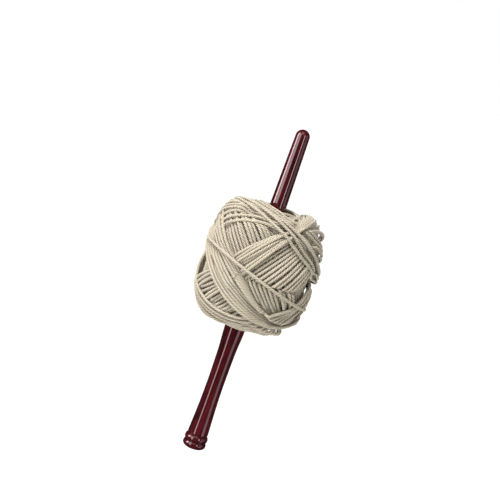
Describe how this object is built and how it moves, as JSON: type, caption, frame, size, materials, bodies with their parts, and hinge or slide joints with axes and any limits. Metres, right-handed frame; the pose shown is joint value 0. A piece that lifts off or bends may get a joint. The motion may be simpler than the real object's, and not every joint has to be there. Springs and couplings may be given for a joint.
{
  "type": "nostepinne",
  "caption": "Turned wooden yarn-winding stick with a tapered shaft, waisted handle and beaded butt, carrying a cross-wound ball of plied yarn that slides off over the tip.",
  "frame": {"origin": "centre of the flat foot on the butt's end face", "axes": "+Z along the stick from the butt to the tip; +X towards the side on which the ball stands out furthest"},
  "size_m": [0.088, 0.088, 0.26],
  "materials": {
    "lacquered_rosewood": "gloss",
    "wool_yarn": "matte"
  },
  "bodies": {
    "stick": {"stick": "lacquered_rosewood"},
    "ball": {"starter_wraps": "wool_yarn", "inner_winding": "wool_yarn", "outer_winding": "wool_yarn"}
  },
  "joints": [
    {"name": "ball_slide", "type": "slide", "parent": "stick", "child": "ball", "axis": [0, 0, 1], "range_m": [0, 0.165]}
  ]
}
